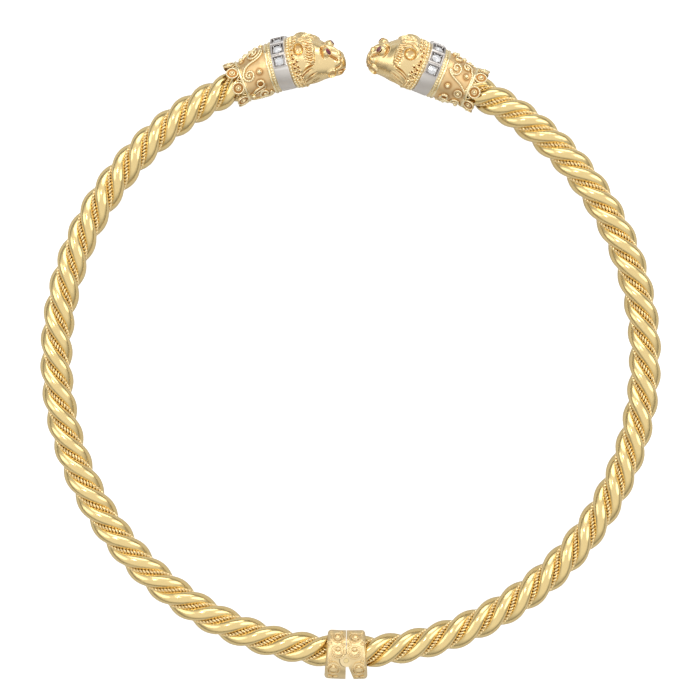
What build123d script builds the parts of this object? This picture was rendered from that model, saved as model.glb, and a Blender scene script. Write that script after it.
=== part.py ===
from build123d import *
import os
from math import cos, degrees, radians, sin, tan

# The ring lies flat with the middle of the neck over the origin, sizes in millimetres
neck_diameter = 119.8
rope_diameter = 7.0
band_diameter = 11.0
play = 0.1

# Three polished strands twisted left-handed round the ring's centre line
strand_count = 3
strand_diameter = 2.92
rope_lead = 18.1
rope_lead_at_collar = 14.6
tight_length = 40.0
hinge_phase = {"left": 58, "right": 73}

# Filigree collar between rope and band
collar_body = 7.6
collar_radius = 5.2
skirt_length = 2.9
wire = 0.28
grain_pitch = 0.55
granule = 0.42
disc_radius = 0.67
rosette_radius = 0.84
rosette_room = 0.59
rosette_height = 0.34
collet_height = 0.84
collet_depth = 0.5
petal_count = 8
petal_radius = 1.5
petal_wall = 0.5
motif_count = 3
collar_sections = (
    # (share of the body from the band, share of the radius, share of the band's shift)
    (0.00, 1.00, 1.00),
    (0.40, 0.98, 0.75),
    (0.68, 0.91, 0.54),
    (1.00, 0.81, 0.35),
)
ring_wires = (
    # (share of the body from the band, share of the radius, wire radius)
    (0.045, 1.00, 0.26),
    (0.155, 1.01, 0.33),
    (0.965, 0.82, 0.32),
)
scroll_route = (
    # (share of the body from the band, degrees round the collar)
    (0.62, 6), (0.67, 13), (0.74, 10), (0.73, 0), (0.64, -6), (0.45, -4), (0.34, 5), (0.32, 18), (0.46, 30),
    (0.68, 32), (0.86, 38), (0.92, 50), (0.90, 62), (0.77, 69), (0.64, 64), (0.63, 54), (0.72, 48), (0.79, 54),
)
granule_spots = ((0.46, 55), (0.24, 76), (0.82, 97))
rosette_spots = ((0.60, 88),)
collet_spot = (0.34, 100)

# White gold band with a row of box settings over the crown; the right band sits lower and further back
band_angle = 15.0
band_slip = {"left": 0.0, "right": 0.6}
band_shift = {"left": 1.3, "right": 0.65}
band_width = 3.1
stone_count = 5
stone_pitch = 28
stone_diameter = 1.8
stone_sunk = 0.3
crown_height = 0.29
girdle = 0.04
box_size = 2.5
box_rise = 0.5
seat_depth = 1.15
prong_diameter = 0.4
prong_rise = 0.13
post_diameter = 6.0
post_entry = 1.5

# Lion heads: on each side (degrees the nose lifts, degrees it turns outward, degrees the crown leans up)
head_pose = {"left": (10, -2, 31), "right": (10, 5, 38)}
head_length = 11.6
mane_radius = 5.6
head_sections = (
    # (share of the length, then shares of the mane's radius: half height, half width, drop)
    (0.00, 0.93, 0.93, 0.00),
    (0.10, 0.97, 0.97, 0.00),
    (0.32, 0.93, 0.95, 0.01),
    (0.50, 0.85, 0.88, 0.10),
    (0.64, 0.76, 0.78, 0.21),
    (0.76, 0.67, 0.66, 0.33),
    (0.87, 0.56, 0.55, 0.41),
    (0.95, 0.42, 0.44, 0.40),
    (1.00, 0.22, 0.26, 0.36),
)
lock_rows = (
    # (share of the length, locks round the head, lock radius)
    (0.05, 24, 0.5),
    (0.18, 14, 0.95),
    (0.33, 14, 0.85),
)
lock_sunk = 0.7
ear_spot = (0.28, 37)
ear_radius = 1.35
ear_height = 0.9
ear_hollow = 1.08
eye_share = 0.74
eye_rise = 1.4
eye_spread = 1.55
eye_radius = 1.15
eye_look = (0.30, 0.42, 0.86)
lip_spot = (0.82, 112)
lip_radius = 1.5
lip_sunk = 1.12
mouth_corner = (0.70, 132)
mouth_disc = 0.8
mouth_depth = 1.6
mouth_width = 2.4
mouth_gap = 0.5
ruby_length = 1.5
ruby_width = 1.05
ruby_depth = 0.75

# Back hinge: a round cast block parted over an upright pin
block_diameter = 10.5
block_length = 8.6
block_shift = 0.6
block_round = 0.8
socket_depth = 0.8
parting = 0.14
pin_shift = 1.3
pin_diameter = 1.0
pin_play = 0.04
knuckle_radius = 1.35
knuckle_height = 3.6
knuckle_play = 0.12
opening_angle = 20
boss_spot = (1.75, 1.7)
boss_disc = 1.19
boss_ball = 0.6
curl_spot = (2.7, -2.0)
curl_radius = 1.15
lobe_spot = (1.9, 4.4)
lobe_radius = 1.3
lobe_sunk = 1.04

sides = {"left": -1, "right": 1}
ring_radius = (neck_diameter + rope_diameter) / 2
ring_height = band_diameter / 2
strand_orbit = (rope_diameter - strand_diameter) / 2
rope_room = rope_diameter / 2 + play
rope_start = band_angle + degrees((collar_body + play) / ring_radius)
block_half = degrees(block_length / 2 / ring_radius)
rope_end = 180 - block_half + degrees((socket_depth - play) / ring_radius)
block_radius = block_diameter / 2
pin_reach = block_radius - play
to_top = (Align.CENTER, Align.CENTER, Align.MAX)
from_base = (Align.CENTER, Align.CENTER, Align.MIN)
os.makedirs("parts", exist_ok=True)


def save(piece, name):
    piece.label = name
    export_step(piece, f"parts/{name}.step")


def ring_frame(side, angle, shift=0, lift=0, turn=0, roll=0):
    """Plane across the ring at an angle from the gap, with Z towards the gap and X outward."""
    sign, up = sides[side], Vector(0, 0, 1)
    place, heading = radians(angle), radians(angle + turn)
    origin = Vector(sign * sin(place), cos(place), 0) * (ring_radius + shift) + up * ring_height
    outward = Vector(sign * sin(heading), cos(heading), 0)
    forward = Vector(-sign * cos(heading), sin(heading), 0)
    nose = forward * cos(radians(lift)) + up * sin(radians(lift))
    above = up * cos(radians(lift)) - forward * sin(radians(lift))
    crown = outward * cos(radians(roll)) + above * sin(radians(roll))
    return Plane(origin=origin, x_dir=crown, z_dir=nose)


def band_frame(side):
    """Plane of the band's back face, with X through the lion's crown."""
    return ring_frame(side, band_angle + band_slip[side], band_shift[side], *head_pose[side])


def head_frame(side):
    return band_frame(side).offset(band_width + 2 * play)


def between(rows, share, column):
    """A table's value at a share of the length, on straight lines between its rows."""
    for low, high in zip(rows, rows[1:]):
        if share <= high[0]:
            return low[column] + (high[column] - low[column]) * (share - low[0]) / (high[0] - low[0])
    return rows[-1][column]


# Rope strands
def twist(angle):
    """Degrees that a strand has turned between the hinge and a place, more tightly near the collar."""
    along = radians(rope_end - angle) * ring_radius
    tight = max(0, along - radians(rope_end - rope_start) * ring_radius + tight_length)
    gain = (1 / rope_lead_at_collar - 1 / rope_lead) / (2 * tight_length)
    return 360 * (along / rope_lead + gain * tight**2)


def strand_point(side, angle, start):
    phase = radians(start + sides[side] * twist(angle))
    reach = ring_radius + strand_orbit * cos(phase)
    place = radians(angle)
    height = ring_height + strand_orbit * sin(phase)
    return Vector(sides[side] * reach * sin(place), reach * cos(place), height)


def make_strand(side, start):
    spare, points_a_turn = 2.5, 12
    spans = round(twist(rope_start) / 360 * points_a_turn)
    first, last = rope_start - spare, rope_end + spare
    places = [first + (last - first) * i / spans for i in range(spans + 1)]
    with BuildPart() as strand:
        with BuildLine() as route:
            Spline(*[strand_point(side, place, start) for place in places])
        with BuildSketch(Plane(origin=route.line @ 0, z_dir=route.line % 0)):
            Circle(strand_diameter / 2)
        sweep()
        split(bisect_by=ring_frame(side, rope_start), keep=Keep.BOTTOM)
        split(bisect_by=ring_frame(side, rope_end), keep=Keep.TOP)
    return strand.part


# Filigree collars
def collar_frame(side, share):
    """Plane across the collar, turning from the rope's direction into the band's."""
    lift, turn, roll = head_pose[side]
    part_left = max(0, 1 - share) ** 1.5
    angle = band_angle + band_slip[side] * (1 - share) + degrees(share * collar_body / ring_radius)
    shift = band_shift[side] * between(collar_sections, share, 2)
    return ring_frame(side, angle, shift, lift * part_left, turn * part_left, roll)


def on_collar(side, share, angle, height=0):
    """Plane that touches the collar's surface, with Z outward and X towards the gap."""
    frame = collar_frame(side, share)
    spin = radians(angle) * -sides[side]
    away = frame.x_dir * cos(spin) + frame.y_dir * sin(spin)
    reach = collar_radius * between(collar_sections, share, 1) + height
    return Plane(origin=frame.origin + away * reach, x_dir=frame.z_dir, z_dir=away)


def scroll_beads(side, turned):
    """Places of the grains of one notched S-shaped wire, curled at both ends."""
    with BuildLine() as route:
        Spline(*[on_collar(side, share, angle + turned).origin for share, angle in scroll_route])
    steps = round(route.line.edges()[0].length / grain_pitch)
    return [route.line @ (i / steps) for i in range(steps + 1)]


def make_collar(side):
    turns = [360 / motif_count * i for i in range(motif_count)]
    petal_share = 1 + (skirt_length - petal_radius) / collar_body
    petals = [on_collar(side, petal_share, 360 / petal_count * i, wire) for i in range(petal_count)]
    granules = [on_collar(side, share, angle + turned) for share, angle in granule_spots for turned in turns]
    rosettes = [on_collar(side, share, angle + turned) for share, angle in rosette_spots for turned in turns]
    collets = [on_collar(side, collet_spot[0], collet_spot[1] + turned) for turned in turns]
    grains = [grain for turned in turns for grain in scroll_beads(side, turned)]
    with BuildPart() as collar:
        for share, radius, _ in collar_sections:
            with BuildSketch(collar_frame(side, share)):
                Circle(collar_radius * radius)
        loft(ruled=True)
        for share, radius, tube in ring_wires:
            with BuildSketch(collar_frame(side, share).offset(-tube)):
                Circle(collar_radius * radius + tube)
            extrude(amount=2 * tube)
        with Locations(*petals):
            Cylinder(petal_radius, petal_wall + wire, align=to_top)
        with BuildSketch(ring_frame(side, rope_start - degrees(play / ring_radius))):
            Circle(rope_room)
        extrude(amount=-2 * skirt_length, mode=Mode.SUBTRACT)
        with Locations(band_frame(side)):
            Cylinder(post_diameter / 2 + play, 2 * (post_entry + play), mode=Mode.SUBTRACT)
        with Locations(*granules):
            Cylinder(disc_radius, wire)
        with Locations(*rosettes):
            Cylinder(rosette_radius, rosette_height)
            Cylinder(rosette_room, rosette_height, mode=Mode.SUBTRACT)
        with Locations(*petals, *granules, *rosettes):
            Sphere(granule)
        with Locations(*collets):
            Cylinder(disc_radius, collet_height)
            Cylinder(granule, collet_depth, align=from_base, mode=Mode.SUBTRACT)
        with Locations(*grains):
            Sphere(wire)
    return collar.part


# Diamond bands
def setting_frame(frame, number):
    """Plane on top of one box setting, with Z away from the band."""
    angle = radians(stone_pitch * (number - (stone_count - 1) / 2))
    away = frame.x_dir * cos(angle) + frame.y_dir * sin(angle)
    reach = band_diameter / 2 + box_rise
    origin = frame.origin + away * reach + frame.z_dir * (band_width / 2 + play)
    return Plane(origin=origin, x_dir=frame.z_dir, z_dir=away)


def make_band(frame):
    settings = [setting_frame(frame, number) for number in range(stone_count)]
    seat = stone_diameter + play
    with BuildPart() as band:
        with BuildSketch(frame.offset(play)):
            Circle(band_diameter / 2)
        extrude(amount=band_width)
        with Locations(*settings):
            Box(band_width, box_size, box_rise + 1, align=to_top)
        with Locations(*settings):
            Box(seat, seat, seat_depth, align=to_top, mode=Mode.SUBTRACT)
        for setting in settings:
            with BuildSketch(setting.offset(prong_rise)):
                with GridLocations(seat, seat, 2, 2):
                    Circle(prong_diameter / 2)
            extrude(amount=-seat_depth)
        with BuildSketch(frame):
            Circle(post_diameter / 2 + play)
        extrude(amount=band_width + 2 * play, mode=Mode.SUBTRACT)
    return band.part


def make_diamond():
    """A round brilliant with its girdle on the plane Z = 0."""
    radius = stone_diameter / 2
    facets = (
        # (facets round the stone, first turn, slope, share of the radius where it meets the girdle)
        (8, 0, 34, 1.00),
        (16, 11.25, 40, 0.99),
        (8, 22.5, 22, 0.86),
        (8, 0, -41, 1.00),
        (16, 11.25, -43, 0.99),
    )
    with BuildPart() as diamond:
        Cylinder(radius, 2 * radius)
        split(bisect_by=Plane.XY.offset(crown_height), keep=Keep.BOTTOM)
        for count, first, slope, share in facets:
            for i in range(count):
                angle, tilt = radians(first + 360 / count * i), radians(slope)
                away = Vector(cos(angle), sin(angle), 0)
                facing = away * abs(sin(tilt)) + Vector(0, 0, cos(tilt) if slope > 0 else -cos(tilt))
                edge = away * radius * share + Vector(0, 0, girdle / 2 if slope > 0 else -girdle / 2)
                split(bisect_by=Plane(origin=edge, z_dir=facing), keep=Keep.BOTTOM)
    return diamond.part


def make_ruby():
    """A long stone with pointed ends, its girdle on the plane Z = 0."""
    side = ((0.5, 0), (0.3, 0.32), (0, 0.5), (-0.3, 0.32))
    outline = side + tuple((-x, -y) for x, y in side)
    levels = ((0.25, 0.6), (0, 1), (-0.75, 0.15))
    with BuildPart() as ruby:
        for level, size in levels:
            with BuildSketch(Plane.XY.offset(level * ruby_depth)):
                Polygon(*[(x * ruby_length * size, y * ruby_width * size) for x, y in outline], align=None)
        loft(ruled=True)
    return ruby.part


def placed(piece, frame):
    with BuildPart() as result:
        add(piece.moved(frame.location))
    return result.part


# Lion heads
def on_mane(frame, share, angle, sunk=0, way=1):
    """Plane on the head's side at a share of its length, with Z away from the head's middle."""
    half_height = mane_radius * between(head_sections, share, 1)
    half_width = mane_radius * between(head_sections, share, 2)
    drop = mane_radius * between(head_sections, share, 3)
    spin = radians(angle * way)
    away = frame.x_dir * cos(spin) + frame.y_dir * sin(spin)
    middle = frame.origin + frame.z_dir * share * head_length
    rim = frame.x_dir * (half_height * cos(spin) - drop) + frame.y_dir * half_width * sin(spin)
    return Plane(origin=middle + rim - away * sunk, x_dir=frame.z_dir, z_dir=away)


def eye_frame(frame, way, sunk=0):
    """Plane on top of one eye, looking forward and a little aside, with X upright."""
    above, aside, ahead = eye_look
    look = frame.x_dir * above + frame.y_dir * aside * way + frame.z_dir * ahead
    socket = Vector(eye_rise, eye_spread * way, eye_share * head_length)
    top = frame.from_local_coords(socket) + look.normalized() * (eye_radius - sunk)
    return Plane(origin=top, x_dir=frame.x_dir, z_dir=look)


def make_head(frame):
    with BuildPart() as head:
        for share, half_height, half_width, drop in head_sections:
            with BuildSketch(frame.offset(share * head_length)):
                with Locations((-drop * mane_radius, 0)):
                    Ellipse(half_height * mane_radius, half_width * mane_radius)
        loft()
        for row, (share, count, radius) in enumerate(lock_rows):
            turns = [360 / count * (i + row / 2) for i in range(count)]
            with Locations(*[on_mane(frame, share, turn, radius * lock_sunk) for turn in turns]):
                Sphere(radius)
        for way in (-1, 1):
            with Locations(on_mane(frame, *ear_spot, ear_radius / 2, way)):
                Cylinder(ear_radius, ear_radius / 2 + ear_height, align=from_base)
            with Locations(on_mane(frame, *ear_spot, -ear_height, way)):
                Sphere(ear_hollow, mode=Mode.SUBTRACT)
            with Locations(eye_frame(frame, way, eye_radius)):
                Sphere(eye_radius)
            with Locations(eye_frame(frame, way)):
                Box(ruby_length + play, ruby_width + play, ruby_depth, align=to_top, mode=Mode.SUBTRACT)
            with Locations(on_mane(frame, *lip_spot, lip_sunk, way)):
                Sphere(lip_radius)
            with Locations(on_mane(frame, *mouth_corner, 0, way)):
                Torus(mouth_disc, wire)
        with Locations(on_mane(frame, 1, 180)):
            Box(mouth_depth, mouth_width, mouth_gap, mode=Mode.SUBTRACT)
        with BuildSketch(frame):
            Circle(post_diameter / 2)
        extrude(amount=-(band_width + 2 * play + post_entry))
    return head.part


# Back hinge
def pin_column(radius, low, high):
    """A round column on the hinge pin's line between two heights from the ring's middle plane."""
    place = Vector(0, -(ring_radius + pin_shift), ring_height)
    with BuildPart() as column:
        with BuildSketch(Plane(origin=place + Vector(0, 0, low), z_dir=(0, 0, 1))):
            Circle(radius)
        extrude(amount=high - low)
    return column.part


def on_block(side, spot, way):
    """Plane on the block's upper or lower side, at millimetres from its middle, with Z outward."""
    across, inward = spot
    height = (block_radius**2 - inward**2) ** 0.5 * way
    place = Vector(sides[side] * across, inward - ring_radius - block_shift, ring_height + height)
    return Plane(origin=place, x_dir=(1, 0, 0), z_dir=(0, inward, height))


def make_leaf(side):
    sign, low, high = sides[side], -knuckle_height / 2, knuckle_height / 2
    owns_middle = side == "left"
    middle_room = pin_column(knuckle_radius + knuckle_play, low - knuckle_play, high + knuckle_play)
    lower_room = pin_column(knuckle_radius + knuckle_play, -block_diameter, low)
    upper_room = pin_column(knuckle_radius + knuckle_play, high, block_diameter)
    lower_knuckle = pin_column(knuckle_radius, -pin_reach, low - knuckle_play)
    upper_knuckle = pin_column(knuckle_radius, high + knuckle_play, pin_reach)
    pin_y = -(ring_radius + pin_shift)
    slot = tan(radians(opening_angle + 1)) * block_diameter
    with BuildPart() as leaf:
        with BuildSketch(ring_frame(side, 180 - block_half, block_shift)):
            Circle(block_radius)
        revolve(axis=Axis.Z, revolution_arc=-sign * block_half)
        fillet(leaf.edges().filter_by(GeomType.CIRCLE).group_by(Axis.X)[-1 if sign > 0 else 0], block_round)
        split(bisect_by=Plane(origin=(sign * parting / 2, 0, 0), z_dir=(sign, 0, 0)), keep=Keep.TOP)
        if owns_middle:
            add([lower_room, upper_room], mode=Mode.SUBTRACT)
            add(pin_column(knuckle_radius, low, high))
        else:
            with BuildSketch(Plane.XY):
                Polygon((0, pin_y), (0, pin_y - block_diameter), (slot, pin_y - block_diameter), align=None)
            extrude(amount=2 * block_diameter, mode=Mode.SUBTRACT)
            add(middle_room, mode=Mode.SUBTRACT)
            add([lower_knuckle, upper_knuckle])
        add(pin_column(pin_diameter / 2 + pin_play, -block_diameter, block_diameter), mode=Mode.SUBTRACT)
        with BuildSketch(ring_frame(side, 180 - block_half)):
            Circle(rope_room)
        extrude(amount=-socket_depth, mode=Mode.SUBTRACT)
        for way in (-1, 1):
            with Locations(on_block(side, curl_spot, way)):
                Cylinder(curl_radius, wire)
                Sphere(granule)
            with Locations(on_block(side, boss_spot, way)):
                Cylinder(boss_disc, wire)
                Sphere(boss_ball)
            with Locations(on_block(side, lobe_spot, way).offset(-lobe_sunk)):
                Sphere(lobe_radius)
    return leaf.part


diamond, ruby = make_diamond(), make_ruby()
for side in sides:
    for number in range(strand_count):
        start = hinge_phase[side] + 360 / strand_count * number
        save(make_strand(side, start), f"{side}_strand_{number + 1}")
    save(make_collar(side), f"{side}_collar")
    band, head = band_frame(side), head_frame(side)
    save(make_band(band), f"{side}_diamond_band")
    for number in range(stone_count):
        save(placed(diamond, setting_frame(band, number).offset(-stone_sunk)), f"{side}_diamond_{number + 1}")
    save(make_head(head), f"{side}_lion_head")
    for number, way in enumerate((-1, 1)):
        save(placed(ruby, eye_frame(head, way, play)), f"{side}_ruby_{number + 1}")
    save(make_leaf(side), f"{side}_hinge_leaf")
save(pin_column(pin_diameter / 2, -pin_reach, pin_reach), "hinge_pin")
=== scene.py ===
"""A hinged gold choker with twisted rope arms, filigree collars, diamond bands and lion heads."""
import bpy
import bmesh
import numpy as np
from collections import namedtuple
from math import cos, degrees, pi, radians, sin
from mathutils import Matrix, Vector
from mathutils.bvhtree import BVHTree
from mathutils.kdtree import KDTree


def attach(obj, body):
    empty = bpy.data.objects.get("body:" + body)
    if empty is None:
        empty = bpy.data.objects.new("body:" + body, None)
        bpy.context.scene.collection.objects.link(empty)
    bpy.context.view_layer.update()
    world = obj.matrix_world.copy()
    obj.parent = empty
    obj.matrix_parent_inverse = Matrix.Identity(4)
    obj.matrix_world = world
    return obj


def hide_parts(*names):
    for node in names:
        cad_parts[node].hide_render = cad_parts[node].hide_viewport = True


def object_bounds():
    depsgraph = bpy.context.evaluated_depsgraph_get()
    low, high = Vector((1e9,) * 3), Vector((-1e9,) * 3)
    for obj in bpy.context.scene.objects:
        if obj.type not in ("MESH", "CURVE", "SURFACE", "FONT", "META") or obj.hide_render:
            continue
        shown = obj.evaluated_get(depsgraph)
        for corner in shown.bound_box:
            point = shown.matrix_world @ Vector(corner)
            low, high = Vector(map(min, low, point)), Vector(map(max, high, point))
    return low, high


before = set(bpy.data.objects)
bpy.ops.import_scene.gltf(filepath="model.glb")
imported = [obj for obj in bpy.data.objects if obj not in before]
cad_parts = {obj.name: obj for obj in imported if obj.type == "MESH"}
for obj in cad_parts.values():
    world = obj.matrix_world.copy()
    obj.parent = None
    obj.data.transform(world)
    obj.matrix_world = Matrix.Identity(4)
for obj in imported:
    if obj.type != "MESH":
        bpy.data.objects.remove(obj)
cad_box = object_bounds()

# Sizes in millimetres and angles in degrees, as the solids have them
MM = 0.001
neck_diameter = 119.8
rope_diameter = 7.0
band_diameter = 11.0
play = 0.1
rope_lead = 18.1
rope_lead_at_collar = 14.6
tight_length = 40.0
hinge_phase = {"left": 58, "right": 73}
collar_body = 7.6
collar_radius = 5.2
collar_mean_radius = 4.9
band_angle = 15.0
band_slip = {"left": 0.0, "right": 0.6}
band_shift = {"left": 1.3, "right": 0.65}
band_width = 3.1
head_length = 11.6
head_pose = {"left": (10, -2, 31), "right": (10, 5, 38)}
stone_pitch = 28
box_rise = 0.5
block_length = 8.6
block_diameter = 10.5
block_shift = 0.6
socket_depth = 0.8
collar_profile = (
    # (share of the body from the band, share of the radius, share of the band's shift)
    (0.0, 1.0, 1.0),
    (0.4, 0.98, 0.75),
    (0.68, 0.91, 0.54),
    (1.0, 0.81, 0.35),
)
sides = {"left": -1, "right": 1}
ring_radius = (neck_diameter + rope_diameter) / 2
ring_height = band_diameter / 2
rope_start = band_angle + degrees((collar_body + play) / ring_radius)
rope_end = 180 - degrees((block_length / 2 - socket_depth + play) / ring_radius)
up = np.array((0.0, 0.0, 1.0))
Frame = namedtuple("Frame", "origin x y z")


# Places on the choker
def unit(vector):
    return vector / np.linalg.norm(vector, axis=-1, keepdims=True)


def ring_frame(side, angle, shift=0, lift=0, turn=0, roll=0):
    """Axes across the ring at an angle from the gap: z towards the gap, x through the crown."""
    sign = sides[side]
    place, heading = radians(angle), radians(angle + turn)
    origin = np.array((sign * sin(place), cos(place), 0)) * (ring_radius + shift) + up * ring_height
    outward = np.array((sign * sin(heading), cos(heading), 0))
    forward = np.array((-sign * cos(heading), sin(heading), 0))
    nose = forward * cos(radians(lift)) + up * sin(radians(lift))
    above = up * cos(radians(lift)) - forward * sin(radians(lift))
    crown = outward * cos(radians(roll)) + above * sin(radians(roll))
    return Frame(origin, crown, np.cross(nose, crown), nose)


def band_frame(side, along=0):
    place = ring_frame(side, band_angle + band_slip[side], band_shift[side], *head_pose[side])
    return place._replace(origin=place.origin + place.z * along)


def collar_frame(side, share):
    lift, turn, roll = head_pose[side]
    part_left = max(0, 1 - share) ** 1.5
    angle = band_angle + band_slip[side] * (1 - share) + degrees(share * collar_body / ring_radius)
    shift = band_shift[side] * np.interp(share, *profile_columns(2))
    return ring_frame(side, angle, shift, lift * part_left, turn * part_left, roll)


def profile_columns(column):
    return [row[0] for row in collar_profile], [row[column] for row in collar_profile]


def on_collar(side, share, angle, height=0):
    """Axes on the collar at a share of its length and degrees from the crown: z outward, x to the gap."""
    place = collar_frame(side, share)
    spin = radians(angle) * -sides[side]
    reach = collar_radius * np.interp(share, *profile_columns(1)) + height
    away = place.x * cos(spin) + place.y * sin(spin)
    return Frame(place.origin + away * reach, place.z, np.cross(away, place.z), away)


def twist(angle):
    """Degrees that the rope has turned between the hinge and a place."""
    along = np.radians(rope_end - angle) * ring_radius
    tight = np.maximum(0, along - radians(rope_end - rope_start) * ring_radius + tight_length)
    gain = (1 / rope_lead_at_collar - 1 / rope_lead) / (2 * tight_length)
    return 360 * (along / rope_lead + gain * tight**2)


def rope_line(side, angles, start, reach):
    """Points of a line that winds round the rope, and the way out from the rope's middle there."""
    phase = np.radians(start + sides[side] * twist(angles))[:, None]
    place = np.radians(angles)[:, None]
    outward = np.hstack((sides[side] * np.sin(place), np.cos(place), 0 * place))
    away = outward * np.cos(phase) + up * np.sin(phase)
    return outward * ring_radius + up * ring_height + away * reach, away


# Shapes as points and faces
def gather(parts):
    """Several shapes as one."""
    points, faces, start = [], [], 0
    for part_points, part_faces in parts:
        points.append(part_points)
        faces += [[corner + start for corner in face] for face in part_faces]
        start += len(part_points)
    return np.vstack(points), faces


def grid_faces(rows, columns, closed_rows=False):
    """Quads between rows of points, each row closed on itself."""
    faces = []
    for row in range(rows if closed_rows else rows - 1):
        here, there = row * columns, (row + 1) % rows * columns
        for i in range(columns):
            j = (i + 1) % columns
            faces.append((here + i, here + j, there + j, there + i))
    return faces


def end_faces(rows, columns):
    """The faces that close the first and the last of some rows of points."""
    return [tuple(range(columns))[::-1], tuple(range((rows - 1) * columns, rows * columns))]


def full_turn(count):
    """Angles of some even steps round a circle."""
    return np.linspace(0, 2 * pi, count, endpoint=False)


def tube(line, radius, corners=8, away=None, closed=False):
    """A wire along a line of points. Away keeps its corners from turning."""
    line = np.asarray(line, float)
    if closed:
        ahead = unit(np.roll(line, -1, axis=0) - np.roll(line, 1, axis=0))
    else:
        ahead = unit(np.gradient(line, axis=0))
    if away is None:
        away = np.zeros_like(line)
        lead = np.cross(ahead[0], (0.3, 0.5, 0.8))
        for i, way in enumerate(ahead):
            lead = unit(lead - way * (lead @ way))
            away[i] = lead
    else:
        away = unit(away - ahead * np.sum(away * ahead, axis=1, keepdims=True))
    across = np.cross(ahead, away)
    thick = np.broadcast_to(np.asarray(radius, float), (len(line),))[:, None, None]
    turn = full_turn(corners)[None, :, None]
    rings = line[:, None] + (away[:, None] * np.cos(turn) + across[:, None] * np.sin(turn)) * thick
    faces = grid_faces(len(line), corners, closed)
    if not closed:
        faces += end_faces(len(line), corners)
    return rings.reshape(-1, 3), faces


def ball_template(detail):
    mesh = bmesh.new()
    bmesh.ops.create_icosphere(mesh, subdivisions=detail, radius=1)
    points = np.array([v.co[:] for v in mesh.verts])
    faces = [[v.index for v in face.verts] for face in mesh.faces]
    mesh.free()
    return points, faces


balls = {detail: ball_template(detail) for detail in (2, 3)}
points_a_grain = 6
notch_depth = 0.2


def ball(centre, radius, detail=2):
    points, faces = balls[detail]
    return points * radius + centre, faces


def circle(place, radius, count):
    """A circle of points round a place, across its z axis."""
    turn = full_turn(count)[:, None]
    return place.origin + (place.x * np.cos(turn) + place.y * np.sin(turn)) * radius


def notched(radius, count):
    """Radii of a wire with grains along it."""
    swell = np.abs(np.sin(np.arange(count) * pi / points_a_grain)) ** 0.7
    return radius * (1 - notch_depth + 1.4 * notch_depth * swell)


def distances(line):
    """How far along a line each of its points lies."""
    return np.concatenate(([0], np.cumsum(np.linalg.norm(np.diff(line, axis=0), axis=1))))


def values_at(steps, along, line):
    return np.column_stack([np.interp(steps, along, line[:, axis]) for axis in range(line.shape[1])])


def smooth_line(corners, spacing):
    """Points at an even spacing on a smooth curve through given corners."""
    corners = np.asarray(corners, float)
    ends = np.vstack((2 * corners[0] - corners[1], corners, 2 * corners[-1] - corners[-2]))
    fine = []
    for a, b, c, d in zip(ends, ends[1:], ends[2:], ends[3:]):
        square, cube = 2 * a - 5 * b + 4 * c - d, 3 * b - a - 3 * c + d
        for t in np.linspace(0, 1, 12, endpoint=False):
            fine.append(0.5 * (2 * b + (c - a) * t + square * t**2 + cube * t**3))
    fine = np.array(fine + [corners[-1]])
    along = distances(fine)
    return values_at(np.linspace(0, along[-1], max(3, round(along[-1] / spacing) + 1)), along, fine)


def tree_of(spots):
    """A search tree of points."""
    tree = KDTree(len(spots))
    for number, spot in enumerate(spots):
        tree.insert(spot, number)
    tree.balance()
    return tree


def add_object(name, data):
    thing = bpy.data.objects.new(name, data)
    bpy.context.scene.collection.objects.link(thing)
    return thing


def piece(name, shape, finishes, body, replaces=(), sharp=40, finish_of=None, painted_shade=None):
    """A mesh object from millimetre points, with its finishes, body, material slot and the painted shade of its points.
    """
    points, faces = shape
    mesh = bpy.data.meshes.new(name)
    mesh.from_pydata((points * MM).tolist(), [], faces)
    mesh.update()
    mesh.polygons.foreach_set("use_smooth", [True] * len(mesh.polygons))
    mesh.set_sharp_from_angle(angle=radians(sharp))
    for finish in finishes:
        mesh.materials.append(finish)
    if finish_of is not None:
        mesh.polygons.foreach_set("material_index", finish_of)
    # Painted shade at each point, which the finish reads as a darker colour
    if painted_shade is not None:
        mesh.attributes.new("painted_shade", "FLOAT", "POINT").data.foreach_set("value", painted_shade)
    thing = add_object(name, mesh)
    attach(thing, body)
    if replaces:
        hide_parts(*replaces)


# Finishes
def new_group(name, inputs, outputs):
    """A node group with named sockets, and the nodes that stand for its inputs and outputs."""
    group = bpy.data.node_groups.new(name, "ShaderNodeTree")
    for label, value in inputs.items():
        group.interface.new_socket(label, in_out="INPUT", socket_type="NodeSocketFloat").default_value = value
    for label in outputs:
        group.interface.new_socket(label, in_out="OUTPUT", socket_type="NodeSocketFloat")
    return group, group.nodes.new("NodeGroupInput"), group.nodes.new("NodeGroupOutput")


def set_inputs(node, **inputs):
    """Sets inputs of a node, with an underscore for each space in their names."""
    for label, value in inputs.items():
        node.inputs[label.replace("_", " ")].default_value = value
    return node


def add_node(nodes, kind, **inputs):
    return set_inputs(nodes.new(kind), **inputs)


def maths_node(nodes, operation, factor=None):
    node = nodes.new("ShaderNodeMath")
    node.operation = operation
    if factor is not None:
        node.inputs[1].default_value = factor
    return node


def colour_mix(nodes, **colours):
    node = nodes.new("ShaderNodeMix")
    node.data_type = "RGBA"
    return set_inputs(node, **{label: (*colour, 1) for label, colour in colours.items()})


def join(links, *wires):
    """Links from an output of one node to an input of another."""
    for start, output, end, entry in wires:
        links.new(start.outputs[output], end.inputs[entry])


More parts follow.
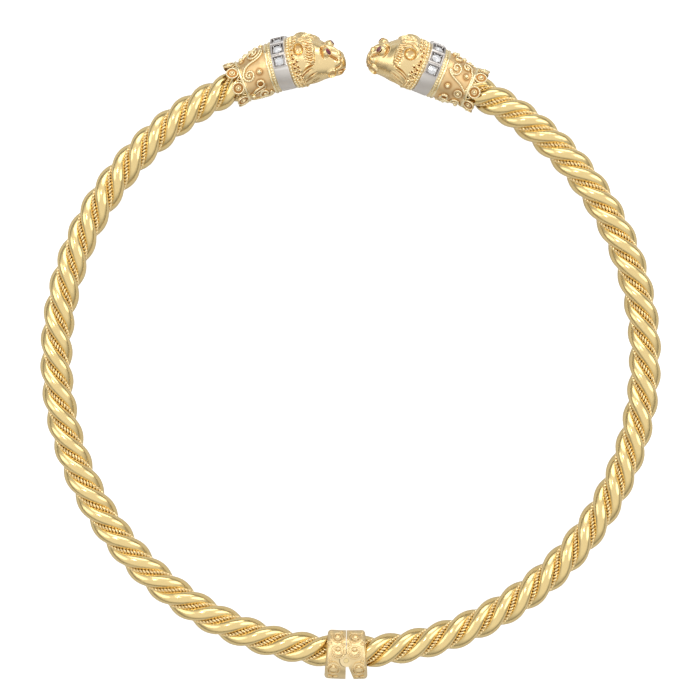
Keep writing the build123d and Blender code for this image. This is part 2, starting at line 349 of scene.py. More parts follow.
def make_hand_polish():
    """Uneven polish and fine hairlines, as a roughness and a height."""
    inputs = {"Roughness": 0.15, "Unevenness": 0.05, "Scale": 900.0}
    group, given, out = new_group("Hand polish", inputs, ("Roughness", "Height"))
    nodes, links = group.nodes, group.links
    place = add_node(nodes, "ShaderNodeTexCoord")
    soft = add_node(nodes, "ShaderNodeTexNoise", Detail=3)
    hairlines = add_node(nodes, "ShaderNodeTexNoise", Detail=6, Distortion=1.5)
    finer = maths_node(nodes, "MULTIPLY", 6)
    spread = add_node(nodes, "ShaderNodeMapRange", From_Min=0.3, From_Max=0.7)
    add = maths_node(nodes, "MULTIPLY_ADD")
    join(
        links,
        (place, "Object", soft, "Vector"), (place, "Object", hairlines, "Vector"),
        (given, "Scale", soft, "Scale"), (given, "Scale", finer, 0),
        (finer, 0, hairlines, "Scale"), (soft, "Fac", spread, "Value"),
        (spread, "Result", add, 0), (given, "Unevenness", add, 1),
        (given, "Roughness", add, 2), (add, 0, out, "Roughness"),
        (hairlines, "Fac", out, "Height"),
    )
    return group


def make_shade_and_wear_masks():
    """Masks of painted shade in the recesses, from the pointiness and from the shade that each piece carries at its
    points, and of the ridges, brighter for wear and as a painted highlight.
    """
    inputs = {"Recess": 0.47, "Ridge": 0.55}
    group, given, out = new_group("Painted shade and wear", inputs, ("Recesses", "Ridges"))
    nodes, links = group.nodes, group.links
    shape = add_node(nodes, "ShaderNodeNewGeometry")
    low = add_node(nodes, "ShaderNodeMapRange", From_Min=0.48)
    high = add_node(nodes, "ShaderNodeMapRange", From_Min=0.53)
    low.interpolation_type = high.interpolation_type = "SMOOTHSTEP"
    join(
        links,
        (shape, "Pointiness", low, "Value"), (given, "Recess", low, "From Max"),
        (shape, "Pointiness", high, "Value"), (given, "Ridge", high, "From Max"),
    )
    # The painted shade that each piece carries at its points: grooves, dents, dish walls, shadows by wires, box floors
    # and the hinge gap
    pressed = add_node(nodes, "ShaderNodeAttribute")
    pressed.attribute_name = "painted_shade"
    deeper = maths_node(nodes, "MAXIMUM")
    join(
        links,
        (low, "Result", deeper, 0), (pressed, "Fac", deeper, 1),
        (deeper, 0, out, "Recesses"), (high, "Result", out, "Ridges"),
    )
    return group


hand_polish = make_hand_polish()
shade_and_wear_masks = make_shade_and_wear_masks()
grain_height = 0.00005


def use_group(nodes, group, **values):
    node = nodes.new("ShaderNodeGroup")
    node.node_tree = group
    return set_inputs(node, **values)


def new_material(name):
    finish = bpy.data.materials.new(name)
    finish.use_nodes = True
    nodes = finish.node_tree.nodes
    return finish, nodes, finish.node_tree.links, nodes["Principled BSDF"]


def metal(name, colours, roughness, unevenness, bump, scale=900, painted_shade=0.47, ridge=0.55):
    """A precious metal, with its colour on the open face, a darker colour as painted shade in the recesses, and a
    brighter one on the rubbed ridges for wear and as a painted highlight.
    """
    finish, nodes, links, shader = new_material(name)
    set_inputs(shader, Metallic=1, IOR=1.5)
    polish = use_group(nodes, hand_polish, Roughness=roughness, Unevenness=unevenness, Scale=scale)
    relief = use_group(nodes, shade_and_wear_masks, Recess=painted_shade, Ridge=ridge)
    dark = colour_mix(nodes, A=colours[0], B=colours[1])
    bright = colour_mix(nodes, B=colours[2])
    grain = add_node(nodes, "ShaderNodeBump", Strength=bump, Distance=grain_height)
    join(
        links,
        (relief, "Recesses", dark, "Factor"), (dark, "Result", bright, "A"),
        (relief, "Ridges", bright, "Factor"), (bright, "Result", shader, "Base Color"),
        (polish, "Roughness", shader, "Roughness"), (polish, "Height", grain, "Height"),
        (grain, "Normal", shader, "Normal"),
    )
    return finish


def stone(name, colour, ior, clearness):
    """A cut stone, clear through, with a faint cloud in its polish."""
    finish, nodes, links, shader = new_material(name)
    set_inputs(shader, Metallic=0, Transmission_Weight=clearness, IOR=ior)
    polish = use_group(nodes, hand_polish, Roughness=0.0, Unevenness=0.03, Scale=2500)
    cloud = add_node(nodes, "ShaderNodeTexNoise", Scale=1500)
    tint = colour_mix(nodes, A=colour, B=[min(1, part * 1.15 + 0.01) for part in colour])
    join(
        links,
        (cloud, "Fac", tint, "Factor"), (tint, "Result", shader, "Base Color"),
        (polish, "Roughness", shader, "Roughness"),
    )
    return finish


metals = {
    # name: (roughness, unevenness, bump, grain scale, recess level, ridge level), colours of the open face, of the
    # painted shade in the recesses and of the rubbed ridges with their painted highlight
    "polished gold": ((0.14, 0.08, 0.08, 900, 0.1, 0.9), (0.85, 0.65, 0.3), (0.55, 0.33, 0.09), (0.95, 0.8, 0.48)),
    "drawn gold wire": ((0.24, 0.08, 0.15), (0.78, 0.52, 0.2), (0.12, 0.05, 0.01), (0.92, 0.72, 0.38)),
    "bright gold wire": ((0.18, 0.07, 0.1), (0.84, 0.64, 0.31), (0.44, 0.2, 0.05), (0.94, 0.8, 0.5)),
    "satin gold ground": ((0.32, 0.1, 0.35, 1800), (0.8, 0.56, 0.28), (0.42, 0.19, 0.05), (0.9, 0.68, 0.38)),
    "chased cast gold": ((0.2, 0.08, 0.15, 900, 0.43, 0.62), (0.86, 0.66, 0.34), (0.46, 0.2, 0.05), (0.96, 0.84, 0.56)),
    "satin cast gold": ((0.3, 0.1, 0.5, 1200, 0.1, 0.9), (0.84, 0.65, 0.35), (0.3, 0.14, 0.04), (0.95, 0.82, 0.54)),
    "satin white gold": ((0.45, 0.08, 0.2, 1500), (0.54, 0.49, 0.44), (0.13, 0.1, 0.09), (0.8, 0.77, 0.73)),
    "white gold of the boxes": ((0.26, 0.08, 0.2, 1500), (0.38, 0.35, 0.33), (0.05, 0.03, 0.03), (0.86, 0.83, 0.8)),
}
polished_gold, cord_gold, wire_gold, ground_gold, cast_gold, block_gold, white_gold, box_gold = (
    metal(name, colours, *texture) for name, (texture, *colours) in metals.items()
)
diamond = stone("diamond", (0.9, 0.92, 0.96), 2.42, 0.4)
ruby = stone("ruby", (0.3, 0.01, 0.06), 1.77, 0.75)


def refinish(node, finish):
    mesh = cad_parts[node].data
    for number in range(len(mesh.materials)):
        mesh.materials[number] = finish


# Rope arms: the two-ply cords that lie in the grooves between the strands
cord_reach = 2.3
ply_reach = 0.25
ply_radius = 0.235
ply_lead = 1.42
points_a_turn = 9
cord_corners = 6


def groove_cords(side):
    """The cords, and a painted shade at each of their points that grows with how deep it lies in the groove."""
    parts, groove_shade = [], []
    fine = np.linspace(rope_start, rope_end, 4000)
    for groove in range(3):
        start = hinge_phase[side] + 60 + 120 * groove
        along = distances(rope_line(side, fine, start, cord_reach)[0])
        steps = np.linspace(0, along[-1], round(along[-1] / ply_lead * points_a_turn))
        line, away = rope_line(side, np.interp(steps, along, fine), start, cord_reach)
        ahead = unit(np.gradient(line, axis=0))
        across = np.cross(ahead, away)
        for ply in range(2):
            turn = (2 * pi * steps / ply_lead + pi * ply)[:, None]
            out = away * np.cos(turn) + across * np.sin(turn)
            shape = tube(line + out * ply_reach, ply_radius, cord_corners, out)
            foot, upward = (np.repeat(rows, cord_corners, axis=0) for rows in (line, away))
            rise = np.sum((shape[0] - foot) * upward, axis=1)
            # Painted shade: the deeper a point lies in the groove, the darker
            groove_shade.append(np.clip((0.3 - rise) / 0.4, 0, 1))
            parts.append(shape)
    return gather(parts), np.concatenate(groove_shade)


# Lion heads, modelled like wax: a smooth skin over lumps, then pressed and engraved
skull = (
    # (millimetres from the band, crown, chin, half width)
    (0.0, 5.1, -5.2, 5.15), (1.0, 5.35, -5.45, 5.35), (2.5, 5.3, -5.4, 5.35),
    (4.2, 4.95, -5.3, 5.15), (5.8, 4.2, -5.25, 4.8), (7.0, 3.3, -5.25, 4.3),
    (8.0, 2.35, -5.35, 3.7), (9.1, 1.45, -5.5, 3.05), (10.0, 0.6, -5.4, 2.45),
    (10.8, -0.15, -4.9, 1.85), (11.3, -0.9, -3.9, 1.25), (11.55, -1.7, -2.9, 0.6),
)
# Places in a head: (crown, side, forward), or (millimetres from the band, degrees from the crown)
eye_place = {"left": (1.0, 1.46, 8.85), "right": (0.9, 1.5, 9.2)}
eye_radius = 1.18
eye_look = (0.3, 0.42, 0.86)
ear_spot = {"left": (3.05, 37), "right": (3.85, 40)}
mouth_corner = {"left": (8.7, 119), "right": (9.3, 121)}
# Way from a dish's middle to its upper wall, where its painted shade is darkest: crown and side
dish_shade = (0.57, 0.82)
lumps = (
    # (place), (radii the same way), lean; one at each side where side isn't 0
    ((1.05, 0.0, 9.6), (0.6, 0.66, 1.9), -38),
    ((-0.65, 0.0, 11.05), (0.62, 0.85, 0.5), 0),
    ((-1.95, 1.2, 9.6), (1.3, 1.35, 1.7), 0),
    ((-4.6, 0.0, 9.35), (0.95, 1.7, 1.25), 0),
)
voxel = 0.09
skin_columns = 72
band_granules = 44


def skull_at(forward, column):
    return np.interp(forward, [row[0] for row in skull], [row[column] for row in skull])


def skull_skin():
    levels = np.concatenate(((-0.12,), np.arange(0, 11.5, 0.25), (11.55,)))
    turn = full_turn(skin_columns)
    rings = []
    for forward in levels:
        high, low, wide = (skull_at(forward, column) for column in (1, 2, 3))
        middle, half = (high + low) / 2, (high - low) / 2
        rings.append(np.column_stack((middle + half * np.cos(turn), wide * np.sin(turn), 0 * turn + forward)))
    return np.vstack(rings), grid_faces(len(rings), skin_columns) + end_faces(len(rings), skin_columns)


def lump(place, radii, lean, way):
    points, faces = balls[3]
    high, _, ahead = (points * radii).T
    tilt = radians(lean)
    crown, forward = high * cos(tilt) + ahead * sin(tilt), ahead * cos(tilt) - high * sin(tilt)
    turned = np.column_stack((crown, points[:, 1] * radii[1], forward))
    return turned + np.array(place) * (1, way, 1), faces


def clay(side):
    """The blended skin of skull and lumps, as points, faces and the way out at each point."""
    parts = [skull_skin()]
    for place, radii, lean in (*lumps, (eye_place[side], (eye_radius,) * 3, 0)):
        for way in (1, -1) if place[1] else (1,):
            parts.append(lump(place, radii, lean, way))
    points, faces = gather(parts)
    mesh = bpy.data.meshes.new("clay")
    mesh.from_pydata(points.tolist(), [], faces)
    thing = add_object("clay", mesh)
    blend = thing.modifiers.new("blend", "REMESH")
    blend.mode = "VOXEL"
    blend.voxel_size = voxel
    soften = thing.modifiers.new("soften", "SMOOTH")
    soften.factor, soften.iterations = 0.5, 14
    bpy.context.view_layer.update()
    solid = bpy.data.meshes.new_from_object(thing.evaluated_get(bpy.context.evaluated_depsgraph_get()))
    bpy.data.objects.remove(thing)
    count = len(solid.vertices)
    flat, normals = np.empty(count * 3), np.empty(count * 3)
    solid.vertices.foreach_get("co", flat)
    solid.vertex_normals.foreach_get("vector", normals)
    skin = [tuple(face.vertices) for face in solid.polygons]
    bpy.data.meshes.remove(solid)
    return flat.reshape(-1, 3), skin, normals.reshape(-1, 3)


def ease(value):
    """A soft step from 0 to 1."""
    value = np.clip(value, 0, 1)
    return value * value * (3 - 2 * value)


class Head:
    """A lion's head in its own axes: crown, side and forward, in millimetres."""

    def __init__(self, side):
        self.points, self.faces, self.out = clay(side)
        self.tree = BVHTree.FromPolygons(self.points.tolist(), self.faces)
        # Painted shade at each point of the skin, added by pressed lines, dents and dishes
        self.painted_shade = np.zeros(len(self.points))
        self.start = self.points.copy()
        middle = (skull_at(self.start[:, 2], 1) + skull_at(self.start[:, 2], 2)) / 2
        self.angle = np.degrees(np.abs(np.arctan2(self.start[:, 1], self.start[:, 0] - middle)))

    def skin(self, forward, angle):
        """Point on the skin at millimetres from the band and degrees from the crown, and the way out there."""
        middle = (skull_at(forward, 1) + skull_at(forward, 2)) / 2
        away = Vector((cos(radians(angle)), sin(radians(angle)), 0))
        hit, normal, _, _ = self.tree.ray_cast(Vector((middle, 0, forward)) + away * 9, -away)
        return np.array(hit), np.array(normal)

    def line(self, route, spacing=0.06):
        return np.array([self.skin(forward, angle)[0] for forward, angle in smooth_line(route, spacing)])

    def distance(self, lines):
        """Each point's distance from the nearest of some lines, and how far along it that is."""
        tree = tree_of(np.vstack(lines))
        share = np.concatenate([np.linspace(0, 1, len(line)) for line in lines])
        found = [tree.find(spot) for spot in self.start]
        return np.array([spot[2] for spot in found]), share[[spot[1] for spot in found]]

    def engrave(self, routes, depth, width, taper=0.25, dark=1.0):
        """Presses tapered lines into the skin with painted shade in them, or raises them where the depth is below 0 and
        clears the painted shade there.
        """
        lines = [self.line([(f, a * way) for f, a in route]) for route in routes for way in (1, -1)]
        self.press_lines(lines, depth, width, taper, dark)

    def press_lines(self, lines, depth, width, taper, dark):
        away, share = self.distance(lines)
        ends = np.clip(np.minimum(share, 1 - share) / taper, 0, 1) ** 0.7
        press = np.exp(-((away / (width * (0.4 + 0.6 * ends))) ** 2)) * (0.25 + 0.75 * ends)
        self.points -= self.out * (depth * press)[:, None]
        # Painted shade in pressed lines, by their darkness; raised lines lose it
        self.painted_shade = np.maximum(self.painted_shade, dark * press) if depth > 0 else self.painted_shade * (1 - press)

    def cup(self, centre, axis, radius, height, depth, dark):
        """Raises a round pad with a rolled rim and hollows it out like a dish, with painted shade in the hollow that is
        darkest at its upper wall.
        """
        axis = unit(np.array(axis, float))
        for way in (1, -1):
            middle, along = np.array(centre) * (1, way, 1), axis * (1, way, 1)
            rise = (self.points - middle) @ along
            across = np.linalg.norm(self.points - middle - rise[:, None] * along, axis=1)
            near = (across < radius + 0.5) & (np.abs(rise) < 1.5)
            weight = ease((radius + 0.5 - across) / 0.45)
            hollow = np.clip(1 - (across / radius) ** 3, 0, 1)
            upper = (self.points - middle) @ (dish_shade[0], -dish_shade[1] * way, 0) / radius
            rim = 0.15 * np.exp(-(((across - radius - 0.05) / 0.13) ** 2))
            lifted = self.points + along * (weight * (height + rim - depth * hollow - rise))[:, None]
            self.points = np.where(near[:, None], lifted, self.points)
            # Painted shade in the hollow, darker towards the upper wall
            shade = dark * hollow * (1 + 3 * np.clip(upper, -0.33, 1))
            self.painted_shade = np.where(near, shade, self.painted_shade)

    def press(self, centre, radius, depth):
        """A soft dent round a place, with painted shade in it."""
        for way in (1, -1):
            away = np.linalg.norm(self.start - np.array(centre) * (1, way, 1), axis=1) / radius
            dent = np.exp(-(away**2) * 1.5)
            self.points -= self.out * (depth * dent)[:, None]
            self.painted_shade = np.maximum(self.painted_shade, dent)

    def raise_tufts(self, height):
        """The thick fur between ear and brow, with a lobed front edge that stands up from the face."""
        lobes = 0.1 * np.abs(np.sin(np.radians(self.angle * 9)))
        edge = (0, 18, 30, 62, 70, 76, 80, 86, 94), (6.3, 6.5, 6.75, 6.55, 6.2, 5.2, 4.3, 3.3, 1.6)
        front = ease((np.interp(self.angle, *edge) + lobes - self.start[:, 2]) / 0.35)
        back = ease((self.start[:, 2] - 1.6) / 3.4)
        self.points += self.out * (height * front * back)[:, None]

    def ring(self, centre, facing, radius, start, end):
        """Part of a circle round a place, dropped onto the skin. Angles run from the nose over the crown."""
        facing = unit(np.array(facing, float))
        ahead = unit(np.array((0, 0, 1.0)) - facing * facing[2])
        above = np.cross(ahead, facing)
        above = above if above[0] > 0 else -above
        turns = np.radians(np.linspace(start, end, 70))
        spots = [np.array(centre) + (ahead * cos(t) + above * sin(t)) * radius for t in turns]
        return np.array([self.tree.find_nearest(spot)[0][:] for spot in spots])


def both(line):
    """A line together with its mirror image on the other side of the head."""
    return [line * (1, way, 1) for way in (1, -1)]


def curl(forward, angle, size, way):
    """A fur curl that winds in to its middle."""
    turns = np.linspace(0, 6.2, 14)
    shrink = size * (1 - turns / 8.5)
    aside = way * 11.5 * shrink * np.sin(turns)
    return [(forward + f, angle + a) for f, a in zip(shrink * np.cos(turns), aside)]


# The tufts: degrees from the crown, and how far each sways
tuft_sways = ((27, 1), (33.5, 1.3), (39, 0.8), (46, 1.2), (51.5, 1), (58.5, 1.4), (64, 0.9), (71, 1.2))
cheek_locks = (80, 91, 103, 115, 128, 142, 157, 172)
crown_locks = (3, 10, 17, 24)
second_curls = (3, 13, 23, 66, 77, 88, 99, 110, 122, 134, 147, 160, 173)


def carved_head(side):
    """A lion's head: fur first, then the face."""
    head = Head(side)
    # Fur of the crown, tufts between ear and brow, and the locks behind the cheek
    head.raise_tufts(0.4)
    fore = ear_spot[side][0] + 1.2
    tufts = []
    for i, (a, sway) in enumerate(tuft_sways):
        tip, root = (6.6 - 0.3 * (i % 3), a + sway), (fore + 0.2 * (i % 4), a - sway)
        tufts.append((tip, (6.0, a - sway), (5.4, a + 1.6 * sway), root, (fore - 0.3, a)))
    head.engrave(tufts, 0.17, 0.075, 0.3, 0.6)
    head.engrave([[(f, a + 3.2) for f, a in tuft] for tuft in tufts], -0.1, 0.1, 0.3)
    locks, ridges = [], []
    for number, a in enumerate(cheek_locks):
        reach = 6.0 - 0.7 * (number % 2)
        lock = ((reach, a - 3), (reach - 0.9, a), (reach - 2.0, a + 6), (reach - 3.0, a + 13), (2.3, a + 18))
        locks.append(lock)
        ridges.append([(f, a - 5.5) for f, a in lock])
    head.engrave(locks, 0.32, 0.19)
    head.engrave(ridges, -0.16, 0.24)
    crown, tips = [], []
    for number, a in enumerate(crown_locks):
        reach = 6.4 - 0.5 * (number % 2)
        wave = ((reach, a), (reach - 1.0, a * 1.05 + 3), (reach - 2.2, a * 1.1 - 2), (3.0, a * 1.15 + 2))
        crown.append(wave)
        tips.append([(f, a + 3.5) for f, a in wave])
    head.engrave(crown, 0.26, 0.13)
    head.engrave(tips, -0.14, 0.16)
    # Curls in two rows by the band
    curls = [curl(1.2, 5 + 10.6 * i, 0.44, 1 - 2 * (i % 2)) for i in range(17)]
    curls += [curl(2.05, a, 0.4, 1 - 2 * (i % 2)) for i, a in enumerate(second_curls)]
    head.engrave(curls, -0.3, 0.15, 0.05)
    for route in curls:
        head.press(head.skin(*route[-1])[0], 0.2, 0.34)
    # Face: ears, crescents behind the eyes, channels beside the nose, lips, nostrils, mouth corners
    ear, _ = head.skin(*ear_spot[side])
    head.cup(ear, (cos(radians(50)), sin(radians(50)), 0.05), 1.33, 0.22, 0.8, 0.25)
    behind = head.ring(eye_place[side], (0.55, 0.83, 0.1), eye_radius + 0.36, 80, 235)
    head.press_lines(both(behind), 0.3, 0.22, 0.4, 1.0)
    lid = head.ring(eye_place[side], (0.55, 0.83, 0.1), eye_radius + 0.72, 60, 215)
    head.press_lines(both(lid), -0.12, 0.2, 0.3, 0)
    head.engrave([((9.5, 30), (10.2, 38), (11.0, 52))], 0.5, 0.34, 0.15, 0.7)
    head.engrave([((11.2, 96), (10.7, 99), (10.2, 99), (9.7, 97))], 0.3, 0.19, 0.3, 0.8)
    head.engrave([((10.95, 179), (10.85, 150), (10.5, 132), (9.9, 122))], 0.55, 0.26, 0.12)
    head.engrave([((10.45, 179), (10.35, 158), (9.95, 140), (9.5, 131))], 0.45, 0.2, 0.15)
    head.engrave([((11.45, 40), (11.35, 70), (11.15, 80))], 0.3, 0.16, 0.3)
    corner, corner_out = head.skin(*mouth_corner[side])
    head.cup(corner, corner_out, 0.98, 0.1, 0.42, 0.4)
    return head


def head_granules(head):
    """The row of granules beside the band."""
    parts = []
    for number in range(band_granules):
        spot, away = head.skin(0.42, number * 360 / band_granules)
        parts.append(ball(spot + away * 0.05, 0.33, 2))
    return parts


# The faces look in other directions than their bands do: degrees of lift and of roll
face_turn = {"left": (14, 3), "right": (-3, 0)}


def posed(side, points):
    """Points of a head in the choker's place, its face turned a little from the band's direction."""
    place = band_frame(side, band_width + 2 * play)
    lift, roll = face_turn[side]
    share = ease(points[:, 2] / head_length)
    spin = np.radians(roll) * share * -sides[side]
    crown = points[:, 0] * np.cos(spin) - points[:, 1] * np.sin(spin)
    aside = points[:, 0] * np.sin(spin) + points[:, 1] * np.cos(spin)
    tip, lean = np.radians(lift) * share, radians(head_pose[side][2])
    viewer = np.array((sin(lean), cos(lean) * -sides[side]))
    across = np.array((-viewer[1], viewer[0]))
    near = crown * viewer[0] + aside * viewer[1]
    kept = crown * across[0] + aside * across[1]
    raised = near * np.cos(tip) + points[:, 2] * np.sin(tip)
    ahead = points[:, 2] * np.cos(tip) - near * np.sin(tip)
    crown, aside = raised * viewer[0] + kept * across[0], raised * viewer[1] + kept * across[1]
    return place.origin + np.column_stack((crown, aside, ahead)) @ np.array((place.x, place.y, place.z))


# Rubies: long stones with pointed ends, cut with a table, a crown of facets and a keel
ruby_size = (0.78, 0.52)
ruby_sides = 12
ruby_sunk = 0.17
ruby_rings = (
    # (share of the size, height)
    (0.55, 0.24), (0.85, 0.13), (1.0, 0.02), (1.0, -0.02), (0.6, -0.3), (0.1, -0.5),
)


def gaze(side, way):
    """One eye: the middle of its dome, the way it looks, upright across it and sideways."""
    look = unit(np.array(eye_look) * (1, way, 1))
    upright = unit(np.array((1.0, 0, -0.15)) - look * (look @ (1.0, 0, -0.15)))
    return np.array(eye_place[side]) * (1, way, 1), look, upright, np.cross(look, upright)


def make_ruby(side, way):
    dome, look, upright, across = gaze(side, way)
    middle = dome + look * (eye_radius - ruby_sunk)
    turns = full_turn(ruby_sides)
    outline = np.column_stack((np.cos(turns), np.sin(turns) * (1 - 0.12 * np.abs(np.cos(turns)))))
    rings = []
    for share, height in ruby_rings:
        flat = outline * np.array(ruby_size) * share
        rings.append(middle + flat[:, :1] * upright + flat[:, 1:] * across + look * height)
    faces = grid_faces(len(rings), ruby_sides) + end_faces(len(rings), ruby_sides)
    return np.vstack(rings), [face[::-1] for face in faces]


def ruby_seat(side, way):
    """The thin rim that holds a ruby."""
    dome, look, upright, across = gaze(side, way)
    middle = dome + look * (eye_radius - ruby_sunk - 0.04)
    turns = full_turn(40)[:, None]
    long, short = (size + 0.04 for size in ruby_size)
    rim = middle + upright * np.cos(turns) * long + across * np.sin(turns) * short
    return tube(rim, 0.07, 6, closed=True)


# Filigree collars: a satin ground under notched scroll wires, granules, rosettes, collets and scallops
def spiral(centre, first, last, start, end):
    """Corners of a curl from its first to its last radius, from the rope end over larger angles."""
    turns = np.radians(np.linspace(start, end, max(4, round(abs(end - start) / 40))))
    reach = np.linspace(first, last, len(turns))
    share = centre[0] + reach * np.cos(turns) / collar_body
    return list(zip(share, centre[1] + np.degrees(reach * np.sin(turns) / collar_mean_radius)))


# Places on a collar: (share of the body, degrees from the crown)
scrolls = {
    "left": spiral((0.53, 5), 0.35, 1.7, -330, 185)
    + [(0.27, 14), (0.31, 21.5), (0.38, 26.5), (0.48, 29), (0.59, 30), (0.71, 31), (0.82, 34), (0.9, 40)]
    + spiral((0.81, 59), 1.42, 0.4, -35, 480),
    "right": spiral((0.55, 28), 0.35, 1.62, -330, 150)
    + [(0.34, 40), (0.43, 47), (0.54, 52), (0.67, 56), (0.84, 62), (0.98, 70.5), (1.06, 76), (1.1, 72)]
    + [(1.12, 62), (1.13, 48), (1.12, 34), (1.09, 21)]
    + spiral((0.88, 8), 1.25, 0.35, 15, -400),
}
curl_ends = {"left": ((0.53, 5), (0.81, 59)), "right": ((0.55, 28), (0.88, 8))}
granule_spots = {"left": ((0.48, 62), (0.9, 1)), "right": ((0.95, 36), (0.47, 77))}
crown_spots = {"left": ((0.31, -30), (0.46, -27), (0.76, -28)), "right": ((0.36, -20), (0.7, -24))}
rosette_spots = {"left": (), "right": ((0.9, 90),)}
collet_spots = {"left": ((0.56, 90),), "right": ((0.52, 113),)}
arches = {
    "left": ((0.42, 91), (0.46, 96.5), (0.54, 99.5), (0.64, 101.5), (0.75, 104.5), (0.83, 109), (0.89, 116)),
    "right": ((0.37, 112), (0.41, 120), (0.5, 126), (0.62, 130), (0.74, 134), (0.84, 140)),
}
arch_turns = {"left": (0, 120, 240), "right": (0, 120)}
rear_share = {"left": 1.05, "right": 1.17}
petal_start = {"left": 33, "right": 21}
motif_turns = (0, 120, 240)
petal_count = 8
petal_radius = 1.2
petal_peak = ((0, -13), (0.06, -6), (0.13, 0), (0.06, 6), (0, 13))
disc_corners = 24
shadow_reach = 0.36


def collar_line(side, corners, turned, height):
    """A smooth line on the collar through corners of share and degrees."""
    unrolled = [(share * collar_body, radians(angle) * collar_mean_radius) for share, angle in corners]
    spots = [
        on_collar(side, x / collar_body, degrees(y / collar_mean_radius) + turned, height)
        for x, y in smooth_line(unrolled, 0.1)
    ]
    return np.array([spot.origin for spot in spots]), np.array([spot.z for spot in spots])


def notched_wire(route, radius, pitch=0.45):
    """A wire with grains along a line that comes with the way out at each of its points."""
    line, away = route
    along = distances(line)
    even = np.linspace(0, along[-1], round(along[-1] / pitch) * points_a_grain + 1)
    return tube(values_at(even, along, line), notched(radius, len(even)), 7, values_at(even, along, away))


def collar_ring(side, share, height, radius, grains=0):
    """A wire ring round the collar, plain or notched."""
    count = grains * points_a_grain if grains else 120
    turns = np.linspace(0, 360, count, endpoint=False)
    line = np.array([on_collar(side, share, turn, height).origin for turn in turns])
    return tube(line, notched(radius, count) if grains else radius, 8, closed=True)


def raised(place, height):
    return place._replace(origin=place.origin + place.z * height)


def bead(place, height, radius, detail=3):
    return ball(raised(place, height).origin, radius, detail)


def small_ring(place, reach, height, radius, grains=0):
    """A wire ring that lies on a spot."""
    count = grains * points_a_grain if grains else 28
    line = circle(raised(place, height), reach, count)
    return tube(line, notched(radius, count) if grains else radius, 6, closed=True)


def disc(place, reach, height):
    """A low round plate with a soft edge."""
    rings = [(reach, -0.3), (reach, height - 0.05)]
    rings += [(reach * share, height) for share in (0.96, 0.85, 0.74, 0.62, 0.48, 0.3)]
    points = [circle(raised(place, level), size, disc_corners) for size, level in rings]
    return np.vstack(points), grid_faces(len(rings), disc_corners) + end_faces(len(rings), disc_corners)[1:]


def collar_ground(side):
    """The collar's body with its rope socket."""
    columns = 192
    rear, socket = rear_share[side], rope_diameter / 2 + play
    rings = [circle(collar_frame(side, 0), 2.9, columns)]
    for share in np.linspace(0, rear, 52):
        reach = collar_radius * np.interp(share, *profile_columns(1))
        rings.append(circle(collar_frame(side, share), reach, columns))
    for share, reach in ((rear, socket), (0.62, socket), (0.62, 0.3)):
        angle = rope_start - degrees(((1 - share) * collar_body + play) / ring_radius)
        rings.append(circle(ring_frame(side, angle), reach, columns))
    return np.vstack(rings), grid_faces(len(rings), columns)


def petal_place(side, angle):
    """Axes of one scallop beyond the collar's rear ring, tipped outward a little."""
    share = rear_share[side] + 1.45 / collar_body
    place = on_collar(side, share, angle, 0.3)
    tip = radians(9)
    along = place.x * cos(tip) - place.z * sin(tip)
    away = place.z * cos(tip) + place.x * sin(tip)
    return Frame(place.origin, along, place.y, away)


def collar_rings(side):
    """The wire rings round the collar."""
    rear = rear_share[side]
    rows = (
        # (share, height, wire radius, grains)
        (0.02, 0.02, 0.14, 0), (0.07, 0.04, 0.28, 54), (0.122, 0.02, 0.1, 0),
        (0.172, 0.08, 0.31, 0), (rear - 0.055, 0.02, 0.1, 0), (rear, 0.1, 0.33, 0),
    )
    return [collar_ring(side, *row) for row in rows]


def collar_motif(side, turned):
    """One motif of scroll, arch, granules, rosettes and collets, and where its shadows lie."""
    scroll = collar_line(side, scrolls[side], turned, 0.16)
    wires, shadows = [notched_wire(scroll, 0.25)], [scroll[0]]
    for shift, radius in ((0, 0.21), (9, 0.15)) if turned in arch_turns[side] else ():
        arch = [(share, angle + shift) for share, angle in arches[side]]
        line, away = collar_line(side, arch, turned, 0.1)
        wires.append(tube(line, radius, 8, away))
        shadows.append(line)

    def places(spots):
        return [on_collar(side, share, angle + turned) for share, angle in spots]

    for place in places(curl_ends[side]):
        wires.append(bead(place, 0.25, 0.33, 2))
    for place in places(granule_spots[side]):
        wires += [disc(place, 0.54, 0.1), small_ring(place, 0.5, 0.11, 0.07), bead(place, 0.4, 0.45)]
        shadows.append(circle(place, 0.6, 16))
    for place in places(rosette_spots[side]):
        wires += [small_ring(place, 0.8, 0.14, 0.15, 14), small_ring(place, 0.5, 0.12, 0.09)]
        wires.append(bead(place, 0.28, 0.36))
        shadows += [circle(place, reach, 20) for reach in (0.65, 0.97)]
    for place in places(collet_spots[side]):
        wires += [small_ring(place, 0.76, 0.02, 0.17), small_ring(place, 0.7, 0.24, 0.17)]
        shadows += [circle(place, reach, 16) for reach in (0.01, 0.2, 0.4, 0.6, 0.88)]
    return wires, shadows


def scallop(side, angle):
    """A scallop's plate, its wires with the little arch to the next one, and where its shadows lie."""
    place = petal_place(side, angle)
    wires = [small_ring(place, petal_radius, 0.03, 0.17, 20), small_ring(place, 0.52, 0.06, 0.11)]
    wires.append(bead(place, 0.16, 0.34))
    peak = [(rear_share[side] + share, turn) for share, turn in petal_peak]
    line, away = collar_line(side, peak, angle + 180 / petal_count, 0.12)
    wires.append(tube(line, 0.12, 6, away))
    return disc(place, petal_radius + 0.02, 0.0), wires, [circle(place, reach, 28) for reach in (0.75, 0.95)]


